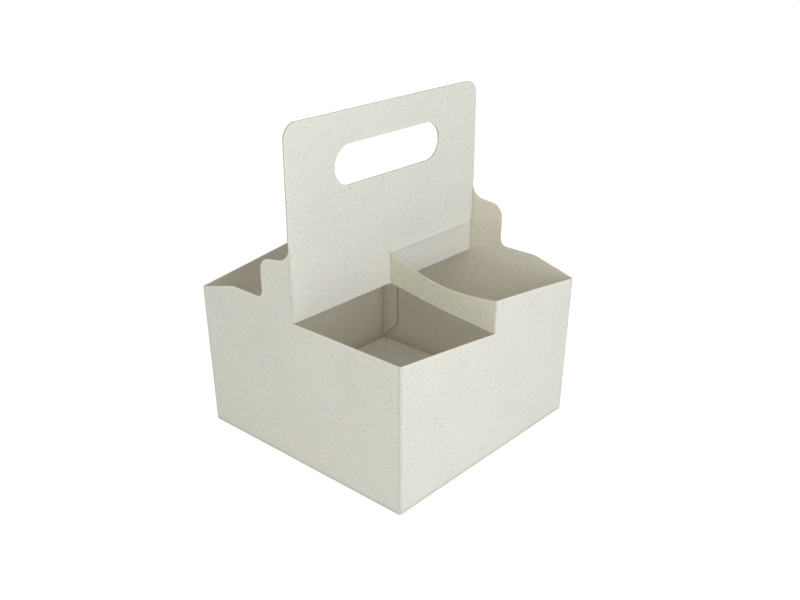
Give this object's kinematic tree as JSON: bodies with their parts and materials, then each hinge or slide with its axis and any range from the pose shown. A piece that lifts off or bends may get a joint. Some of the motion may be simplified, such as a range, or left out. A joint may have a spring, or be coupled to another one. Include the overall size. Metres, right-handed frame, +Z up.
{
  "type": "cardboard cup carrier",
  "caption": "Folded recycled-board cup carrier: an open square tray with stepped walls, divider strips and an upright two-ply handle panel with a hand slot.",
  "frame": {"origin": "centre of the base, on the surface that the carrier stands on", "axes": "+Z up; the handle panel stands in the XZ plane, so X runs along the hand slot and Y through it"},
  "size_m": [0.202, 0.2004, 0.2545],
  "materials": {
    "greyboard": "matte uncoated recycled board, pale warm grey with fine fibres and flecks"
  },
  "bodies": {
    "root": {"carrier": "greyboard"}
  },
  "joints": []
}
